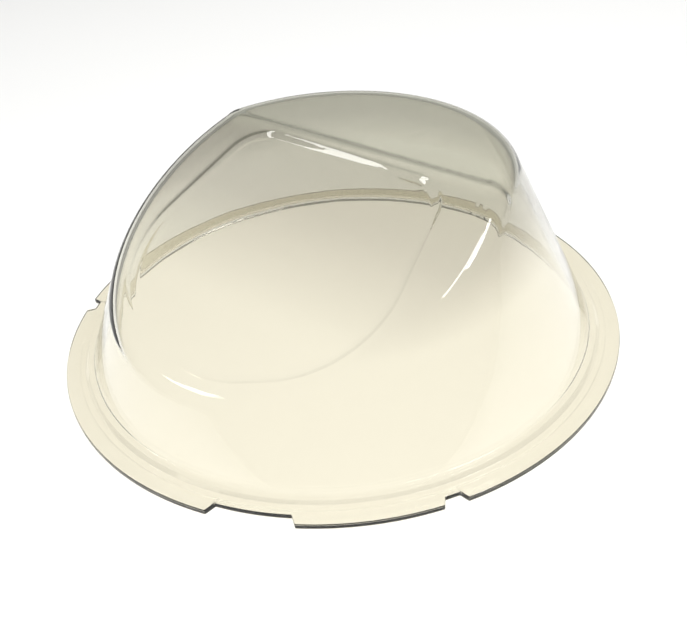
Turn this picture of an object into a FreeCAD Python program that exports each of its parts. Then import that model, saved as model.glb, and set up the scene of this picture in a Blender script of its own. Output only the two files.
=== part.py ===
"""Washing machine door glass: one pressed bowl with a slanted face and a notched rim flange.

Millimetres, +Z up. The bowl stands mouth down on its rim, the origin is the centre of the rim's
flat underside, and the slanted face looks towards -Y.
"""
import FreeCAD
import Part
import math
import os

from FreeCAD import Vector

# Rim flange
rim_radius = 165.0
rim_thickness = 3.2
rim_edge_round = 0.7

# Locating shoulder, the raised ring between the flange and the bowl's wall
land_radius = 157.3
land_height = 3.8
shoulder_foot_radius = 153.7
shoulder_radius = 151.5
shoulder_height = 6.2
shoulder_fillet = 1.5

# Bowl
wall_thickness = 4.5
wall_foot_radius = 150.9
wall_angle = math.radians(65.6)
bowl_height = 108.0
edge_round = 15.0
mouth_round = 2.5

# Slanted face, a plane that falls towards -Y
face_slope = math.radians(23.7)
face_height = 98.0

# Shallow recess pressed into the slanted face, laid out on the face: x across, y uphill
recess_depth = 2.0
recess_depth_inside = 1.3
recess_run = 5.0
recess_top = (67.6, 13.7)
recess_hip = (87.6, -93.1)
recess_foot = (23.1, -126.2)
recess_top_round = 19.0
recess_hip_round = 59.0
recess_foot_round = 59.0
recess_lip_round = 6.0

# Rim notches, by their angle about the axis from the slanted face's downhill side
key_notch_angles = (-60.0, 60.0, 180.0)
key_notch_depth = 5.0
key_notch_width = 12.5
key_notch_root = 8.0
wide_notch_start = 17.4
wide_notch_end = 33.2
wide_notch_depth = 5.8
wide_notch_draft = 0.9
downhill_angle = -90.0

# Working allowances
below = 20.0
above = 60.0
tolerance = 1e-3


def polar(radius, angle_deg, z=0.0):
    angle = math.radians(angle_deg)
    return Vector(radius * math.cos(angle), radius * math.sin(angle), z)


def face_placement(lift):
    """The slanted face's own axes, lifted along its normal."""
    turn = FreeCAD.Rotation(Vector(1, 0, 0), math.degrees(face_slope))
    normal = turn.multVec(Vector(0, 0, 1))
    return FreeCAD.Placement(Vector(0, 0, face_height) + normal * lift, turn)


def grown_corners(corners, grow):
    """Corners of the convex outline whose sides are all moved outwards by grow."""
    count = len(corners)
    grown = []
    for i in range(count):
        before, here, after = corners[i - 1], corners[i], corners[(i + 1) % count]
        side_in = (here - before).normalize()
        side_out = (after - here).normalize()
        out_in = Vector(side_in.y, -side_in.x, 0)
        out_out = Vector(side_out.y, -side_out.x, 0)
        bisector = (out_in + out_out).normalize()
        grown.append(here + bisector * (grow / bisector.dot(out_in)))
    return grown


def rounded_wire(corners, rounds):
    """A closed wire through corners, each rounded by a tangent arc."""
    count = len(corners)
    ends = []
    for i in range(count):
        before, here, after = corners[i - 1], corners[i], corners[(i + 1) % count]
        back = (before - here).normalize()
        ahead = (after - here).normalize()
        half = back.getAngle(ahead) / 2
        reach = rounds[i] / math.tan(half)
        middle = (back + ahead).normalize() * (rounds[i] / math.sin(half) - rounds[i])
        ends.append((here + back * reach, here + middle, here + ahead * reach))
    edges = []
    for i in range(count):
        start, middle, end = ends[i]
        edges.append(Part.Arc(start, middle, end).toShape())
        edges.append(Part.LineSegment(end, ends[(i + 1) % count][0]).toShape())
    return Part.Wire(edges)


def recess_wire(grow, lift):
    """The recess outline, grown outwards and set at a height over the slanted face."""
    right = [recess_top, recess_hip, recess_foot]
    rounds = [recess_top_round, recess_hip_round, recess_foot_round]
    corners = [Vector(x, y, 0) for x, y in right] + [Vector(-x, y, 0) for x, y in reversed(right)]
    corners.reverse()
    wire = rounded_wire(grown_corners(corners, grow), [r + grow for r in rounds + rounds[::-1]])
    wire.Placement = face_placement(lift)
    return wire


def recess_tool(inset, depth):
    """The tapered block that presses the recess, for a form shrunk by inset."""
    riser_angle = math.atan2(depth, recess_run)
    grow = inset * math.tan(riser_angle / 2)
    floor = recess_wire(grow, -depth - inset)
    mouth = recess_wire(grow + recess_run * 2, depth - inset)
    return Part.makeLoft([floor, mouth], True, True)


def edges_on_face(shape, lift):
    """Closed-loop edges that lie wholly at a height over the slanted face."""
    to_face = face_placement(lift).inverse()
    found = []
    for edge in shape.Edges:
        points = [to_face.multVec(p) for p in edge.discretize(5)]
        if max(abs(p.z) for p in points) < tolerance:
            if max(math.hypot(p.x, p.y) for p in points) < rim_radius:
                found.append(edge)
    return found


def bowl_form(inset, depth):
    """The bowl as a full solid form, with every face moved inwards by inset and its recess to depth."""
    shrink = inset / math.sin(wall_angle)
    top = bowl_height - inset
    foot_radius = wall_foot_radius - shrink
    base_radius = foot_radius + below / math.tan(wall_angle)
    top_radius = foot_radius - top / math.tan(wall_angle)
    form = Part.makeCone(base_radius, top_radius, top + below, Vector(0, 0, -below))
    waste = Part.makeBox(4 * rim_radius, 4 * rim_radius, above)
    waste.translate(Vector(-2 * rim_radius, -2 * rim_radius, 0))
    waste.Placement = face_placement(-inset).multiply(waste.Placement)
    form = form.cut(waste)
    crown = [edge for edge in form.Edges if edge.BoundBox.ZMin > below]
    form = form.makeFillet(edge_round - inset, crown)
    form = form.cut(recess_tool(inset, depth))
    floor_round = recess_lip_round + inset * 0.8
    form = form.makeFillet(floor_round, edges_on_face(form, -depth - inset))
    lip_round = max(recess_lip_round - inset, 1.0)
    rim_edges = [e for e in edges_on_face(form, -inset) if recess_edge(e)]
    return form.makeFillet(lip_round, rim_edges)


def recess_edge(edge):
    """True for an edge of the recess's lip rather than of the slanted face's outer edge."""
    to_face = face_placement(0).inverse()
    half_width = recess_hip[0] + recess_run * 3
    lowest = recess_foot[1] - recess_run * 3
    highest = recess_top[1] + recess_run * 2
    points = [to_face.multVec(p) for p in edge.discretize(5)]
    return all(abs(p.x) < half_width and lowest < p.y < highest for p in points)


def rim_ring():
    """The flange and its locating shoulder, turned about the axis."""
    hub = wall_foot_radius / 2
    section = [
        (hub, 0),
        (rim_radius, 0),
        (rim_radius, rim_thickness),
        (land_radius, rim_thickness),
        (land_radius - 0.8, land_height),
        (shoulder_foot_radius, land_height),
        (shoulder_radius, shoulder_height),
        (hub, shoulder_height),
    ]
    points = [Vector(r, 0, z) for r, z in section]
    profile = Part.Face(Part.makePolygon(points + points[:1]))
    ring = profile.revolve(Vector(0, 0, 0), Vector(0, 0, 1), 360)
    outer = [e for e in ring.Edges if circle_at(e, rim_radius)]
    return ring.makeFillet(rim_edge_round, outer)


def circle_at(edge, radius, z=None):
    """True for a circular edge about the axis, of that radius and, if given, at that height."""
    if not hasattr(edge.Curve, "Radius") or abs(edge.Curve.Radius - radius) > tolerance:
        return False
    return z is None or abs(edge.BoundBox.ZMin - z) < tolerance


def key_notch(angle):
    """The cutter for one drafted locating notch."""
    outer = rim_radius + key_notch_depth
    draft = (key_notch_width - key_notch_root) / 2 / key_notch_depth
    half_out = key_notch_width / 2 + draft * key_notch_depth
    half_root = key_notch_root / 2
    root = rim_radius - key_notch_depth
    corners = [(root, -half_root), (outer, -half_out), (outer, half_out), (root, half_root)]
    points = [Vector(x, y, -below) for x, y in corners]
    cutter = Part.Face(Part.makePolygon(points + points[:1])).extrude(Vector(0, 0, 2 * below))
    cutter.rotate(Vector(0, 0, 0), Vector(0, 0, 1), downhill_angle + angle)
    return cutter


def wide_notch():
    """The cutter for the long shallow recess in the rim's edge."""
    root = rim_radius - wide_notch_depth
    outer = rim_radius + wide_notch_depth
    start = downhill_angle + wide_notch_start
    end = downhill_angle + wide_notch_end
    middle = (start + end) / 2
    inner_start, inner_end = start + wide_notch_draft, end - wide_notch_draft
    outer_start, outer_end = start - wide_notch_draft, end + wide_notch_draft
    edges = [
        Part.Arc(polar(root, inner_start), polar(root, middle), polar(root, inner_end)).toShape(),
        Part.LineSegment(polar(root, inner_end), polar(outer, outer_end)).toShape(),
        Part.Arc(polar(outer, outer_end), polar(outer, middle), polar(outer, outer_start)).toShape(),
        Part.LineSegment(polar(outer, outer_start), polar(root, inner_start)).toShape(),
    ]
    cutter = Part.Face(Part.Wire(edges))
    cutter.translate(Vector(0, 0, -below))
    return cutter.extrude(Vector(0, 0, 2 * below))


def door_glass():
    """The whole pressed glass."""
    under = Part.makeBox(4 * rim_radius, 4 * rim_radius, 2 * below)
    under.translate(Vector(-2 * rim_radius, -2 * rim_radius, -2 * below))
    glass = bowl_form(0, recess_depth).cut(under).fuse(rim_ring()).removeSplitter()
    foot = wall_foot_radius - shoulder_height / math.tan(wall_angle)
    glass = glass.makeFillet(shoulder_fillet, [e for e in glass.Edges if circle_at(e, foot)])
    glass = glass.cut(bowl_form(wall_thickness, recess_depth_inside))
    mouth = wall_foot_radius - wall_thickness / math.sin(wall_angle)
    glass = glass.makeFillet(mouth_round, [e for e in glass.Edges if circle_at(e, mouth, 0)])
    for angle in key_notch_angles:
        glass = glass.cut(key_notch(angle))
    return glass.cut(wide_notch())


def main():
    os.makedirs("parts", exist_ok=True)
    glass = door_glass().Solids[0]
    print("door_glass valid", glass.isValid(), "solids", len(glass.Solids))
    print("volume cm3", round(glass.Volume / 1000, 1), "box", glass.BoundBox)
    glass.exportStep("parts/door_glass.step")


main()
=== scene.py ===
"""Door glass of a front-loading washing machine: the pressed bowl, its material, and a plain studio.

The bowl stands mouth down on its rim. Its skins are worked out from a few sizes: a cone, a flat top and a
slanted face whose shared edges are rolled round, a shallow recess in the slanted face, and a turned rim.
"""
import math

import bpy
import numpy as np
from bpy.props import FloatProperty, FloatVectorProperty, IntProperty, PointerProperty
from mathutils import Matrix, Vector


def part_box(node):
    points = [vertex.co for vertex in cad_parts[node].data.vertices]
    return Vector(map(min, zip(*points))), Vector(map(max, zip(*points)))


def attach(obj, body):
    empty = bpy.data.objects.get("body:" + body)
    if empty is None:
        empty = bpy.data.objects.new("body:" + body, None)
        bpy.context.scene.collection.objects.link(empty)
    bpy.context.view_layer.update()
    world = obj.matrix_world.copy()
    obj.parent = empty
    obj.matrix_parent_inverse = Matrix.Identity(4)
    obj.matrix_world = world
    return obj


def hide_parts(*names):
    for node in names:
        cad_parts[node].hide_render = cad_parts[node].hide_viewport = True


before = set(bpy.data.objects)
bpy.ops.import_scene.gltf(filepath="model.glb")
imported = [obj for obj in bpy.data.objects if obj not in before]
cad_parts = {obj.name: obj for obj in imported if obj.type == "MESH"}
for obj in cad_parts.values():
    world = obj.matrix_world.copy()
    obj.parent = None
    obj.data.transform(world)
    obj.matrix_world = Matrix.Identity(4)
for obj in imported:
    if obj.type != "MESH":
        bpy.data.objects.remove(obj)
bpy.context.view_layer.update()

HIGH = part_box("door_glass")[1]

bl_info = {
    "name": "Door Glass",
    "version": (1, 0, 0),
    "blender": (4, 5, 0),
    "location": "View3D > Sidebar > Door Glass",
    "description": "Pressed glass bowl of a washing machine door, with a plain studio",
    "category": "Object",
}

MM = 0.001
# The glass's material, whose colour holds painted shade that darkens with height
GLASS_NAME = "door_glass_bowl"
MATERIAL_NAME = "pressed_glass_with_painted_shade"


# ---------------------------------------------------------------- sizes that a user would change

def size_prop(name, description, millimetres):
    """A length property with its default given in millimetres."""
    return FloatProperty(
        name=name,
        description=description,
        default=millimetres * MM,
        unit="LENGTH",
        precision=4,
    )


def angle_prop(name, description, degrees):
    """An angle property with its default given in degrees."""
    return FloatProperty(
        name=name,
        description=description,
        default=math.radians(degrees),
        subtype="ANGLE",
    )


def colour_prop(name, description, default):
    """A colour property without alpha."""
    return FloatVectorProperty(
        name=name,
        description=description,
        default=default,
        size=3,
        subtype="COLOR",
        min=0.0,
        max=1.0,
    )


class GlassSizes(bpy.types.PropertyGroup):
    """Sizes of the pressed bowl."""

    wall: size_prop("Wall", "Thickness of the bowl's wall", 4.5)
    foot_radius: size_prop("Wall foot radius", "Radius of the wall carried down to the table", 150.9)
    wall_angle: angle_prop("Wall angle", "Steepness of the conical wall", 65.6)
    edge_round: size_prop("Edge rounding", "Outer radius of the bowl's rolled edges", 15.0)
    face_slope: angle_prop("Face slope", "Fall of the slanted face", 23.7)
    face_height: size_prop("Face height", "Height of the slanted face over the bowl's centre", 98.0)
    recess_depth: size_prop("Recess depth", "Depth of the recess in the slanted face", 2.0)
    recess_depth_inside: size_prop("Inside recess depth", "Depth of the same recess on the inside", 1.3)
    recess_run: size_prop("Recess run", "Width of the recess's sloping side", 5.0)
    lip_round: size_prop("Lip rounding", "Radius of the recess's lip and of its inside corner", 6.0)
    shoulder_radius: size_prop("Shoulder radius", "Outer radius of the locating shoulder", 151.5)
    shoulder_height: size_prop("Shoulder height", "Height of the locating shoulder", 6.2)
    land_radius: size_prop("Land radius", "Outer radius of the low step outside the shoulder", 157.3)
    land_height: size_prop("Land height", "Height of the low step outside the shoulder", 3.8)
    rim_thickness: size_prop("Rim thickness", "Thickness of the flat rim", 3.2)
    mouth_round: size_prop("Mouth rounding", "Radius of the mouth's inner edge", 2.5)
    columns: IntProperty(name="Columns", description="Points round the bowl", default=540, min=90)
    outer_rows: IntProperty(name="Outer rows", description="Rows over the outside", default=84, min=20)
    inner_rows: IntProperty(name="Inner rows", description="Rows over the inside", default=66, min=20)


class GlassFinish(bpy.types.PropertyGroup):
    """Tint of the glass with painted shade that darkens with height, and its surface."""

    # Low, middle, high and crown colours: the glass's own tint with painted shade over it. They darken with
    # height up to the flat top and are lighter again on it, in place of darker surroundings seen through the
    # glass.
    low_tint_and_painted_shade: colour_prop("Low tint", "Tint of one wall near the rim", (0.852, 0.838, 0.77))
    middle_tint_and_painted_shade: colour_prop("Middle tint", "Tint of one wall high up", (0.615, 0.60, 0.55))
    high_tint_and_painted_shade: colour_prop("High tint", "Tint of one wall near the top", (0.57, 0.562, 0.50))
    crown_tint_and_painted_shade: colour_prop("Crown tint", "Tint of the flat top", (0.77, 0.775, 0.685))
    lamp_tint: colour_prop("Lamp tint", "Tint that one surface gives to lamp light", (0.96, 0.94, 0.885))
    ior: FloatProperty(name="Refractive index", description="Index of soda-lime glass", default=1.5)
    ripple_size: size_prop("Ripple size", "Distance between the soft waves left by pressing", 45.0)
    ripple_height: size_prop("Ripple height", "Height of the soft waves left by pressing", 0.03)


class StudioSettings(bpy.types.PropertyGroup):
    """Camera and light."""

    azimuth: angle_prop("Azimuth", "Direction of the camera, from the front to the right", 43.6)
    elevation: angle_prop("Elevation", "Height angle of the camera", 36.1)
    roll: angle_prop("Roll", "Turn of the camera about its own axis", -5.8)
    distance: size_prop("Distance", "From the camera to the point it looks at", 530.0)
    lens: FloatProperty(name="Lens", description="Focal length on a 36 mm wide sensor", default=45.07)
    light: FloatProperty(name="Light", description="Strength of the plain sky", default=1.0)


# ---------------------------------------------------------------- rolled edges and outlines

def rolled(first, second, cosine, radius):
    """Signed distance to an edge of two faces, rolled to a radius. The cosine is between their normals."""
    u = first + radius
    v = second + radius
    in_roll = (u > 0) & (v > 0) & (v > u * cosine) & (u > v * cosine)
    sine_squared = np.maximum(1 - cosine * cosine, 1e-9)
    reach = np.sqrt(np.maximum(u * u + v * v - 2 * u * v * cosine, 0) / sine_squared)
    return np.where(in_roll, reach - radius, np.maximum(first, second))


def rolled_normal(first, second, normal_a, normal_b, cosine, radius):
    """Normal of the rolled edge at each point, between the normals of its two faces."""
    u = first + radius
    v = second + radius
    share_a = np.clip(u - v * cosine, 0, None)
    share_b = np.clip(v - u * cosine, 0, None)
    outside = (share_a + share_b) <= 0
    share_a = np.where(outside, first >= second, share_a)
    share_b = np.where(outside, first < second, share_b)
    normal = share_a[..., None] * normal_a + share_b[..., None] * normal_b
    return normal / np.linalg.norm(normal, axis=-1, keepdims=True)


# Right-hand corners of the recess in millimetres on the slanted face: across, uphill, rounding radius
RECESS_CORNERS = ((67.6, 13.7, 19.0), (87.6, -93.1, 59.0), (23.1, -126.2, 59.0))


def recess_corners():
    """All corners of the recess in metres, clockwise as seen from outside."""
    right = [(x * MM, y * MM, r * MM) for x, y, r in RECESS_CORNERS]
    return right + [(-x, y, r) for x, y, r in reversed(right)]


def outline_distance(x, y):
    """Signed distance from the recess's rounded outline, negative inside it."""
    corners = recess_corners()
    count = len(corners)
    sides = []
    for i in range(count):
        ax, ay = corners[i][:2]
        bx, by = corners[(i + 1) % count][:2]
        length = math.hypot(bx - ax, by - ay)
        out_x = -(by - ay) / length
        out_y = (bx - ax) / length
        sides.append((out_x, out_y, (x - ax) * out_x + (y - ay) * out_y))
    best = np.full_like(x, -np.inf)
    for i in range(count):
        before, after = sides[i - 1], sides[i]
        cosine = before[0] * after[0] + before[1] * after[1]
        best = np.maximum(best, rolled(before[2], after[2], cosine, corners[i][2]))
    return best


def recess_profile(across, depth, run, grow, lip_round, floor_round):
    """Height of the recess over the slanted face, zero or less, by distance from its floor's outline."""
    slope = math.atan2(depth, run)
    t = across - grow
    lip_reach = lip_round * math.tan(slope / 2)
    floor_reach = floor_round * math.tan(slope / 2)
    lip = -lip_round + np.sqrt(np.maximum(lip_round**2 - (t - run - lip_reach) ** 2, 0))
    floor = floor_round - depth - np.sqrt(np.maximum(floor_round**2 - (t + floor_reach) ** 2, 0))
    side = -depth + t * depth / run
    height = np.where(t < floor_reach * math.cos(slope), floor, side)
    height = np.where(t > run - lip_reach * math.cos(slope), lip, height)
    height = np.where(t > run + lip_reach, 0.0, height)
    return np.where(t < -floor_reach, -depth, height)


# ---------------------------------------------------------------- the bowl's form

# The recess's inner corner grows by this share of the wall, and its lip shrinks no further than this
FLOOR_ROUND_SHARE = 0.8
LEAST_LIP_ROUND = 1.0 * MM


def bowl_field(x, y, z, sizes, inset):
    """Signed distance from the bowl's form with every face moved inwards by inset."""
    wall = sizes.wall_angle
    slope = sizes.face_slope
    radius = sizes.edge_round - inset
    top_normal = np.array([0.0, 0.0, 1.0])
    face_normal = np.array([0.0, -math.sin(slope), math.cos(slope)])
    top = z - (HIGH.z - inset)
    face = (z - sizes.face_height) * math.cos(slope) - y * math.sin(slope) + inset
    uphill = y * math.cos(slope) + (z - sizes.face_height) * math.sin(slope)

    depth = sizes.recess_depth if inset == 0 else sizes.recess_depth_inside
    side_slope = math.atan2(depth, sizes.recess_run)
    grow = inset * math.tan(side_slope / 2)
    floor_round = sizes.lip_round + inset * FLOOR_ROUND_SHARE
    lip_round = max(sizes.lip_round - inset, LEAST_LIP_ROUND)
    across = outline_distance(x, uphill)
    recess = recess_profile(across, depth, sizes.recess_run, grow, lip_round, floor_round)

    ridge_cosine = np.full_like(x, math.cos(slope))
    crown = rolled(top, face, ridge_cosine, radius)
    crown_normal = rolled_normal(top, face, top_normal, face_normal, ridge_cosine, radius)

    distance = np.hypot(x, y)
    side = (distance - sizes.foot_radius) * math.sin(wall) + z * math.cos(wall) + inset
    bearing = np.maximum(distance, 1e-6)
    side_x = x / bearing * math.sin(wall)
    side_y = y / bearing * math.sin(wall)
    side_normal = np.stack([side_x, side_y, np.full_like(x, math.cos(wall))], axis=-1)
    edge_cosine = np.sum(crown_normal * side_normal, axis=-1)
    return rolled(crown, side, edge_cosine, radius) - recess


NEWTON_STEPS = 7
SMALL_RISE = 1e-6
LEAST_RISE = 0.2


def bowl_height(x, y, sizes, inset):
    """Height of the bowl's form over each point of the plan, by Newton's steps from its sharp-edged form."""
    wall = sizes.wall_angle
    slope = sizes.face_slope
    flat = HIGH.z - inset
    slanted = sizes.face_height + y * math.tan(slope) - inset / math.cos(slope)
    conical = (sizes.foot_radius - np.hypot(x, y)) * math.tan(wall) - inset / math.cos(wall)
    z = np.minimum(np.minimum(flat, slanted), conical)
    for _ in range(NEWTON_STEPS):
        here = bowl_field(x, y, z, sizes, inset)
        rise = (bowl_field(x, y, z + SMALL_RISE, sizes, inset) - here) / SMALL_RISE
        z = z - here / np.maximum(rise, LEAST_RISE)
    return z


# ---------------------------------------------------------------- spacing of the mesh

# A row is spent on this much length, or on this much turning, of the surface
ROW_LENGTH = 6.5 * MM
ROW_TURN = math.radians(5.5)
RAY_SAMPLES = 560

# Notches by their bearing in degrees from the slanted face's downhill side
KEY_NOTCHES = (-60.0, 60.0, 180.0)
KEY_NOTCH = {"depth": 5.0 * MM, "width": 12.5 * MM, "root": 8.0 * MM}
WIDE_NOTCH = {"start": 17.4, "end": 33.2, "depth": 5.8 * MM, "draft": 0.9}
DOWNHILL = -90.0


def degrees_apart(bearings, centre):
    """How far each bearing is from a centre, the short way round."""
    return np.abs((bearings - centre + 180) % 360 - 180)


def notch_depth(bearings):
    """How far the rim's edge is cut back at each bearing, in degrees from the face's downhill side."""
    depth = np.zeros_like(bearings)
    half_width = math.degrees(KEY_NOTCH["width"] / 2 / HIGH.x)
    half_root = math.degrees(KEY_NOTCH["root"] / 2 / HIGH.x)
    for centre in KEY_NOTCHES:
        share = (half_width - degrees_apart(bearings, centre)) / (half_width - half_root)
        depth = np.maximum(depth, KEY_NOTCH["depth"] * np.clip(share, 0, 1))
    centre = (WIDE_NOTCH["start"] + WIDE_NOTCH["end"]) / 2
    half_width = (WIDE_NOTCH["end"] - WIDE_NOTCH["start"]) / 2
    share = (half_width - degrees_apart(bearings, centre)) / WIDE_NOTCH["draft"]
    return np.maximum(depth, WIDE_NOTCH["depth"] * np.clip(share, 0, 1))


def column_bearings(count):
    """Bearings of the mesh's columns, closer together at the flanks of the notches."""
    fine = np.linspace(0, 360, 36001)
    depth = notch_depth(fine)
    flank = np.abs(np.gradient(depth, fine)) > 1e-9
    width = 120
    near = np.convolve(np.r_[flank[-width:], flank, flank[:width]], np.hanning(2 * width + 1), "same")
    density = 1 + 5 * np.clip(near[width:-width] / 40, 0, 1)
    total = np.r_[0, np.cumsum((density[1:] + density[:-1]) / 2)]
    return np.interp(np.arange(count) / count, total / total[-1], fine)


def even_rows(run, rise, rows):
    """Places of the rows along each ray, by its length and its turning."""
    step_run, step_rise = np.diff(run, axis=1), np.diff(rise, axis=1)
    length = np.hypot(step_run, step_rise)
    heading = np.arctan2(step_rise, step_run)
    turn = np.abs(np.diff(heading, axis=1))
    turn = np.c_[turn[:, :1], (turn[:, 1:] + turn[:, :-1]) / 2, turn[:, -1:]]
    kernel = np.hanning(9)
    kernel = kernel / kernel.sum()
    turn = np.apply_along_axis(lambda row: np.convolve(row, kernel, "same"), 1, turn)
    weight = length / ROW_LENGTH + turn / ROW_TURN
    total = np.c_[np.zeros(len(run)), np.cumsum(weight, axis=1)]
    wanted = np.arange(1, rows + 1) / rows
    places = np.arange(run.shape[1])
    return np.array([np.interp(wanted * t[-1], t, places) for t in total])


def skin(bearings, end_radius, rows, sizes, inset):
    """Points of one skin, from the recess's middle out to a circle on the wall: (rows, columns, 3)."""
    middle_uphill = (recess_corners()[0][1] + recess_corners()[2][1]) / 2
    start = np.array([0.0, middle_uphill * math.cos(sizes.face_slope)])
    angles = np.radians(bearings + DOWNHILL)
    ends = end_radius * np.stack([np.cos(angles), np.sin(angles)], axis=1)
    share = np.linspace(0, 1, RAY_SAMPLES)
    plan = start + (ends - start)[:, None, :] * share[None, :, None]
    height = bowl_height(plan[..., 0], plan[..., 1], sizes, inset)
    run = share[None, :] * np.linalg.norm(ends - start, axis=1)[:, None]
    places = even_rows(run, height, rows) / (RAY_SAMPLES - 1)
    plan = start + (ends - start)[:, None, :] * places[..., None]
    height = bowl_height(plan[..., 0], plan[..., 1], sizes, inset)
    points = np.concatenate([plan, height[..., None]], axis=2).transpose(1, 0, 2)
    pole_z = bowl_height(start[:1], start[1:], sizes, inset)[0]
    return points, np.array([start[0], start[1], pole_z])


ARC_STEP = math.radians(22)

# Roundings of the turned rim, and how far its section runs up each wall
SHOULDER_FILLET = 1.5 * MM
SHOULDER_ROUND = 0.45 * MM
SHOULDER_FOOT_ROUND = 0.8 * MM
LAND_ROUND = 0.4 * MM
RIM_ROUND = 0.7 * MM
SHOULDER_RUN = 2.2 * MM
LAND_RUN = 0.8 * MM
OUTER_WALL_RISE = 1.2 * MM
INNER_WALL_TOP = 2.2 * MM


def rounded_section(corners):
    """Points of a turned section through corners (radius, height, rounding), each rounded by an arc."""
    points = []
    for i, (r, z, rounding) in enumerate(corners):
        here = np.array([r, z])
        if rounding == 0:
            points.append(here)
            continue
        back = np.array(corners[i - 1][:2]) - here
        ahead = np.array(corners[i + 1][:2]) - here
        back = back / np.linalg.norm(back)
        ahead = ahead / np.linalg.norm(ahead)
        half = math.acos(np.clip(back @ ahead, -1, 1)) / 2
        centre = here + (back + ahead) / np.linalg.norm(back + ahead) * rounding / math.sin(half)
        start = here + back * rounding / math.tan(half) - centre
        turn = math.pi - 2 * half
        sign = 1 if back[0] * ahead[1] - back[1] * ahead[0] < 0 else -1
        steps = max(2, round(turn / ARC_STEP))
        for k in range(steps + 1):
            a = sign * turn * k / steps
            out = start[0] * math.cos(a) - start[1] * math.sin(a)
            up = start[0] * math.sin(a) + start[1] * math.cos(a)
            points.append(centre + np.array([out, up]))
    return np.array(points)


def rim_section(sizes):
    """Section of the rim, from the foot of the outer wall round to the foot of the inner wall."""
    rise = math.tan(sizes.wall_angle)
    inner_foot = sizes.foot_radius - sizes.wall / math.sin(sizes.wall_angle)
    wall_top = sizes.shoulder_height + OUTER_WALL_RISE
    return rounded_section([
        (sizes.foot_radius - wall_top / rise, wall_top, 0),
        (sizes.foot_radius - sizes.shoulder_height / rise, sizes.shoulder_height, SHOULDER_FILLET),
        (sizes.shoulder_radius, sizes.shoulder_height, SHOULDER_ROUND),
        (sizes.shoulder_radius + SHOULDER_RUN, sizes.land_height, SHOULDER_FOOT_ROUND),
        (sizes.land_radius - LAND_RUN, sizes.land_height, LAND_ROUND),
        (sizes.land_radius, sizes.rim_thickness, LAND_ROUND),
        (HIGH.x, sizes.rim_thickness, RIM_ROUND),
        (HIGH.x, 0.0, RIM_ROUND),
        (inner_foot, 0.0, sizes.mouth_round),
        (inner_foot - INNER_WALL_TOP / rise, INNER_WALL_TOP, 0),
    ])


def rim_rows(section, bearings, sizes):
    """The rim's section turned about the axis, with its edge cut back at the notches: (rows, columns, 3)."""
    angles = np.radians(bearings + DOWNHILL)
    cut = notch_depth(bearings)
    flat_start = sizes.land_radius
    flat_end = HIGH.x - RIM_ROUND
    share = np.clip((section[:, 0] - flat_start) / (flat_end - flat_start), 0, 1)
    radius = section[:, :1] - share[:, None] * cut[None, :]
    height = np.repeat(section[:, 1:], len(bearings), axis=1)
    return np.stack([radius * np.cos(angles), radius * np.sin(angles), height], axis=2)


def closed_shell(name, rows, first_pole, last_pole):
    """A closed mesh through rows of points, shut by a pole at each end."""
    count_rows, columns = rows.shape[:2]
    points = np.vstack([first_pole[None], rows.reshape(-1, 3), last_pole[None]])
    place = 1 + np.arange(count_rows * columns).reshape(count_rows, columns)
    along = np.roll(place, -1, axis=1)
    quads = np.stack([place[:-1], place[1:], along[1:], along[:-1]], axis=2).reshape(-1, 4)
    last = len(points) - 1
    start_fan = [(0, int(a), int(b)) for a, b in zip(place[0], along[0])]
    end_fan = [(last, int(b), int(a)) for a, b in zip(place[-1], along[-1])]
    mesh = bpy.data.meshes.new(name)
    mesh.from_pydata(points.tolist(), [], start_fan + quads.tolist() + end_fan)
    mesh.update()
    mesh.shade_smooth()
    return mesh


def glass_mesh(sizes):
    """The whole bowl as one closed mesh."""
    bearings = column_bearings(sizes.columns)
    section = rim_section(sizes)
    outer, outer_pole = skin(bearings, section[0, 0], sizes.outer_rows, sizes, 0.0)
    inner, inner_pole = skin(bearings, section[-1, 0], sizes.inner_rows, sizes, sizes.wall)
    rim = rim_rows(section[1:-1], bearings, sizes)
    rows = np.concatenate([outer, rim, inner[::-1]])
    return closed_shell(GLASS_NAME, rows, outer_pole, inner_pole)


# ---------------------------------------------------------------- shader and geometry trees

class Value:
    """A socket with arithmetic that adds Math nodes."""

    def __init__(self, tree, socket):
        self.tree = tree
        self.socket = socket

    def _math(self, operation, *inputs):
        node = self.tree.add("ShaderNodeMath", {"operation": operation}, dict(enumerate(inputs)))
        return node.out(0)

    def __sub__(self, other):
        return self._math("SUBTRACT", self, other)

    def __rsub__(self, other):
        return self._math("SUBTRACT", other, self)

    def __mul__(self, other):
        return self._math("MULTIPLY", self, other)

    def __rmul__(self, other):
        return self._math("MULTIPLY", other, self)

    def __truediv__(self, other):
        return self._math("DIVIDE", self, other)

    def __rtruediv__(self, other):
        return self._math("DIVIDE", other, self)


class Node:
    """One node and its outputs as values."""

    def __init__(self, tree, node):
        self.tree = tree
        self.node = node

    def out(self, key):
        return Value(self.tree, self.node.outputs[key])


class Tree:
    """A node tree that is written as calls and expressions."""

    def __init__(self, tree):
        self.tree = tree
        tree.nodes.clear()

    def add(self, kind, settings=None, inputs=None):
        """A node of a kind, with its settings first and then the values or links of its sockets."""
        node = self.tree.nodes.new(kind)
        for key, value in (settings or {}).items():
            if key == "stops":
                self.set_stops(node.color_ramp, value)
            else:
                setattr(node, key, value)
        for key, value in (inputs or {}).items():
            if isinstance(value, Value):
                self.tree.links.new(value.socket, node.inputs[key])
            else:
                node.inputs[key].default_value = value
        return Node(self, node)

    @staticmethod
    def set_stops(ramp, stops):
        while len(ramp.elements) < len(stops):
            ramp.elements.new(1.0)
        for element, (position, colour) in zip(ramp.elements, stops):
            element.position = position
            element.color = colour


# Where the low, middle, high and crown stops of glass tint and painted shade stand, as shares of the bowl's
# height
TINT_AND_SHADE_HEIGHTS = (0.55, 0.79, 0.96, 0.995)


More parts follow.
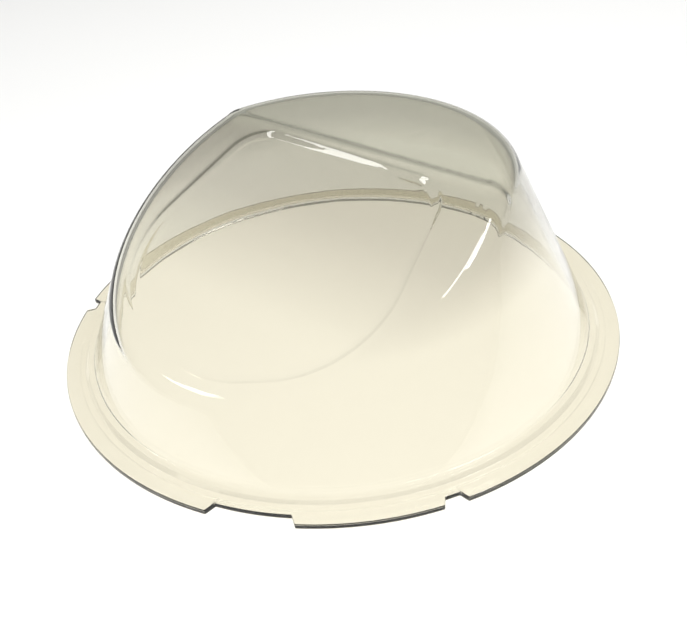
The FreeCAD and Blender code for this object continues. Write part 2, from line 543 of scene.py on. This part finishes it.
def glass_material(finish):
    """Clear pressed glass with a soft fire-polished surface.

    Its colour deepens with height and eases off on the flat top: painted shade over the glass's own tint, in
    place of darker surroundings that would be seen through it. Light on its way to or from the floor passes
    straight through, and takes the lamp tint at each surface.
    """
    material = bpy.data.materials.new(MATERIAL_NAME)
    material.use_nodes = True
    tree = Tree(material.node_tree)
    place = tree.add("ShaderNodeTexCoord").out("Object")
    height = tree.add("ShaderNodeSeparateXYZ", None, {0: place}).out("Z")
    share = height * (1.0 / HIGH.z)
    # Glass tint with painted shade, by height: darker up to the flat top, lighter again on it
    tints_and_shade = (finish.low_tint_and_painted_shade, finish.middle_tint_and_painted_shade, finish.high_tint_and_painted_shade, finish.crown_tint_and_painted_shade)
    stops = [(at, (*tint, 1.0)) for at, tint in zip(TINT_AND_SHADE_HEIGHTS, tints_and_shade)]
    tint = tree.add("ShaderNodeValToRGB", {"stops": stops}, {0: share}).out("Color")
    waves = tree.add("ShaderNodeTexNoise", None, {"Vector": place, "Scale": 55.0, "Detail": 2.0}).out(0)
    bump = tree.add(
        "ShaderNodeBump", None, {"Strength": 0.05, "Distance": 0.4 * MM, "Height": waves}
    ).out("Normal")
    glass = tree.add(
        "ShaderNodeBsdfPrincipled",
        None,
        {
            "Base Color": tint,
            "Roughness": 0.0,
            "IOR": finish.ior,
            "Transmission Weight": 1.0,
            "Normal": bump,
        },
    ).out("BSDF")
    lamp = tree.add("ShaderNodeBsdfTransparent", None, {"Color": (*finish.lamp_tint, 1.0)}).out("BSDF")
    path = tree.add("ShaderNodeLightPath")
    from_floor = path.out("Is Diffuse Ray")
    to_lamp = path.out("Is Shadow Ray")
    bounced = tree.add("ShaderNodeMixShader", None, {0: from_floor, 1: glass, 2: lamp}).out(0)
    surface = tree.add("ShaderNodeMixShader", None, {0: to_lamp, 1: bounced, 2: lamp}).out(0)
    tree.add("ShaderNodeOutputMaterial", None, {"Surface": surface})
    return material


def ripple_tree(material):
    """Geometry nodes that give the glass the soft waves of pressing, and its material."""
    group = bpy.data.node_groups.new("pressing_waves", "GeometryNodeTree")
    sockets = {}
    group.interface.new_socket("Geometry", in_out="INPUT", socket_type="NodeSocketGeometry")
    for name in ("Wave size", "Wave height"):
        item = group.interface.new_socket(name, in_out="INPUT", socket_type="NodeSocketFloat")
        sockets[name] = item.identifier
    group.interface.new_socket("Geometry", in_out="OUTPUT", socket_type="NodeSocketGeometry")
    tree = Tree(group)
    given = tree.add("NodeGroupInput")
    position = tree.add("GeometryNodeInputPosition").out(0)
    normal = tree.add("GeometryNodeInputNormal").out(0)
    noise = tree.add(
        "ShaderNodeTexNoise",
        None,
        {"Vector": position, "Scale": 1.0 / given.out("Wave size"), "Detail": 1.0},
    ).out(0)
    height = (noise - 0.5) * given.out("Wave height") * 2.0
    offset = tree.add("ShaderNodeVectorMath", {"operation": "SCALE"}, {0: normal, 3: height}).out(0)
    moved = tree.add(
        "GeometryNodeSetPosition", None, {"Geometry": given.out("Geometry"), "Offset": offset}
    ).out(0)
    real = tree.add("GeometryNodeRealizeInstances", None, {0: moved}).out(0)
    done = tree.add("GeometryNodeSetMaterial", None, {"Geometry": real, "Material": material}).out(0)
    tree.add("NodeGroupOutput", None, {0: done})
    return group, sockets


def apply_tree(obj, group, values):
    """Runs a geometry tree on an object and keeps its result as a plain mesh."""
    modifier = obj.modifiers.new(group.name, "NODES")
    modifier.node_group = group
    for identifier, value in values.items():
        modifier[identifier] = value
    bpy.context.view_layer.update()
    evaluated = obj.evaluated_get(bpy.context.evaluated_depsgraph_get())
    mesh = bpy.data.meshes.new_from_object(evaluated)
    obj.modifiers.remove(modifier)
    old = obj.data
    obj.data = mesh
    bpy.data.meshes.remove(old)
    mesh.name = obj.name


def add_object(name, data):
    """A new object in the scene's collection."""
    obj = bpy.data.objects.new(name, data)
    bpy.context.scene.collection.objects.link(obj)
    return obj


# ---------------------------------------------------------------- studio

def plain_material(name, colour, roughness):
    """A matt material of one colour."""
    material = bpy.data.materials.new(name)
    material.use_nodes = True
    tree = Tree(material.node_tree)
    paint = tree.add(
        "ShaderNodeBsdfPrincipled", None, {"Base Color": (*colour, 1.0), "Roughness": roughness}
    ).out("BSDF")
    tree.add("ShaderNodeOutputMaterial", None, {"Surface": paint})
    return material


def toward(azimuth, elevation):
    """Unit direction at an azimuth from the front, turned to the right, and an elevation."""
    flat = math.cos(elevation)
    return Vector((math.sin(azimuth) * flat, -math.cos(azimuth) * flat, math.sin(elevation)))


def area_light(name, width, height, power):
    """A rectangular soft light, still at the origin and facing down."""
    data = bpy.data.lights.new(name, "AREA")
    data.shape = "RECTANGLE"
    data.size = width
    data.size_y = height
    data.energy = power
    return add_object(name, data)


def aimed(place, target, roll=0.0):
    """A matrix that stands at place and looks at target, upright but for a roll."""
    turn = (target - place).to_track_quat("-Z", "Y").to_matrix().to_4x4()
    return Matrix.Translation(place) @ turn @ Matrix.Rotation(roll, 4, "Z")


def softbox(name, azimuth, elevation, distance, width, height, power):
    """A soft light at an azimuth and elevation in degrees that faces the bowl and is mirrored in it."""
    light = area_light(name, width, height, power)
    target = Vector((0.0, 0.0, HIGH.z / 2))
    place = target + toward(math.radians(azimuth), math.radians(elevation)) * distance
    light.matrix_world = aimed(place, target)


def ceiling_softbox(name, place, side, power):
    """A square soft light that faces down and isn't mirrored in the glass."""
    light = area_light(name, side, side, power)
    light.matrix_world = Matrix.Translation(place)
    light.visible_glossy = False
    light.visible_transmission = False


# Half the floor's side, and its height: a hair under the rim, so that the two faces don't meet
FLOOR_HALF = 3.0
FLOOR_HEIGHT = -0.25 * MM

CAMERA_TARGET = (2.2 * MM, 1.0 * MM, -1.1 * MM)


def floor_mesh():
    """A square of pale floor."""
    signs = ((-1, -1), (1, -1), (1, 1), (-1, 1))
    mesh = bpy.data.meshes.new("floor")
    mesh.from_pydata([(x * FLOOR_HALF, y * FLOOR_HALF, FLOOR_HEIGHT) for x, y in signs], [], [(0, 1, 2, 3)])
    mesh.materials.append(plain_material("pale_floor", (0.86, 0.86, 0.86), 0.6))
    return mesh


def soft_sky(strength):
    """A plain pale sky, lighter overhead than at the horizon."""
    world = bpy.data.worlds.new("soft_sky")
    world.use_nodes = True
    tree = Tree(world.node_tree)
    direction = tree.add("ShaderNodeTexCoord").out("Generated")
    up = tree.add("ShaderNodeSeparateXYZ", None, {0: direction}).out("Z")
    stops = [(0.0, (0.42, 0.42, 0.39, 1.0)), (1.0, (0.48, 0.48, 0.47, 1.0))]
    ramp = tree.add("ShaderNodeValToRGB", {"stops": stops}, {0: up}).out("Color")
    light = tree.add("ShaderNodeBackground", None, {"Color": ramp, "Strength": strength}).out("Background")
    tree.add("ShaderNodeOutputWorld", None, {"Surface": light})
    bpy.context.scene.world = world


# ---------------------------------------------------------------- operators

class DOORGLASS_OT_press_bowl(bpy.types.Operator):
    """Make the pressed glass bowl"""

    bl_idname = "doorglass.press_bowl"
    bl_label = "Press Bowl"

    def execute(self, context):
        sizes = context.scene.door_glass_sizes
        finish = context.scene.door_glass_finish
        bowl = add_object(GLASS_NAME, glass_mesh(sizes))
        group, sockets = ripple_tree(glass_material(finish))
        values = {sockets["Wave size"]: finish.ripple_size, sockets["Wave height"]: finish.ripple_height}
        apply_tree(bowl, group, values)
        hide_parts("door_glass")
        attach(bowl, "root")
        return {"FINISHED"}


class DOORGLASS_OT_set_stage(bpy.types.Operator):
    """Lay the floor and set the camera and the lights"""

    bl_idname = "doorglass.set_stage"
    bl_label = "Set Stage"

    def execute(self, context):
        studio = context.scene.door_glass_studio
        add_object("floor", floor_mesh())

        target = Vector(CAMERA_TARGET)
        place = target + toward(studio.azimuth, studio.elevation) * studio.distance
        data = bpy.data.cameras.new("camera")
        data.lens = studio.lens
        data.sensor_width = 36.0
        data.clip_start = 10.0 * MM
        camera = add_object("camera", data)
        camera.matrix_world = aimed(place, target, studio.roll)
        context.scene.camera = camera

        soft_sky(studio.light)
        ceiling_softbox("overhead_softbox", Vector((-0.2, 0.22, 2.2)), 2.0, 33.5)
        ceiling_softbox("front_softbox", Vector((0.22, -0.23, 0.5)), 0.5, 1.1)
        softbox("right_softbox", 117.0, 58.0, 1.6, 0.5, 0.22, 4.0)
        softbox("right_high_softbox", 100.0, 66.0, 1.6, 0.6, 0.15, 2.6)
        softbox("left_softbox", -55.0, 44.0, 1.6, 0.42, 0.1, 1.3)
        context.scene.view_settings.view_transform = "Standard"
        return {"FINISHED"}


class DOORGLASS_PT_panel(bpy.types.Panel):
    """Buttons and sizes of the door glass"""

    bl_idname = "DOORGLASS_PT_panel"
    bl_label = "Door Glass"
    bl_space_type = "VIEW_3D"
    bl_region_type = "UI"
    bl_category = "Door Glass"

    def draw(self, context):
        layout = self.layout
        for operator in OPERATORS:
            layout.operator(operator.bl_idname)
        for name in ("door_glass_sizes", "door_glass_finish", "door_glass_studio"):
            group = getattr(context.scene, name)
            column = layout.column(align=True)
            for key in group.__annotations__:
                column.prop(group, key)


GROUPS = {
    "door_glass_sizes": GlassSizes,
    "door_glass_finish": GlassFinish,
    "door_glass_studio": StudioSettings,
}
OPERATORS = (DOORGLASS_OT_press_bowl, DOORGLASS_OT_set_stage)


def register():
    for name, group in GROUPS.items():
        bpy.utils.register_class(group)
        setattr(bpy.types.Scene, name, PointerProperty(type=group))
    for operator in OPERATORS:
        bpy.utils.register_class(operator)
    bpy.utils.register_class(DOORGLASS_PT_panel)


def unregister():
    bpy.utils.unregister_class(DOORGLASS_PT_panel)
    for operator in reversed(OPERATORS):
        bpy.utils.unregister_class(operator)
    for name, group in reversed(GROUPS.items()):
        delattr(bpy.types.Scene, name)
        bpy.utils.unregister_class(group)


def main():
    register()
    bpy.ops.doorglass.press_bowl()
    bpy.ops.doorglass.set_stage()


if __name__ == "__main__":
    main()
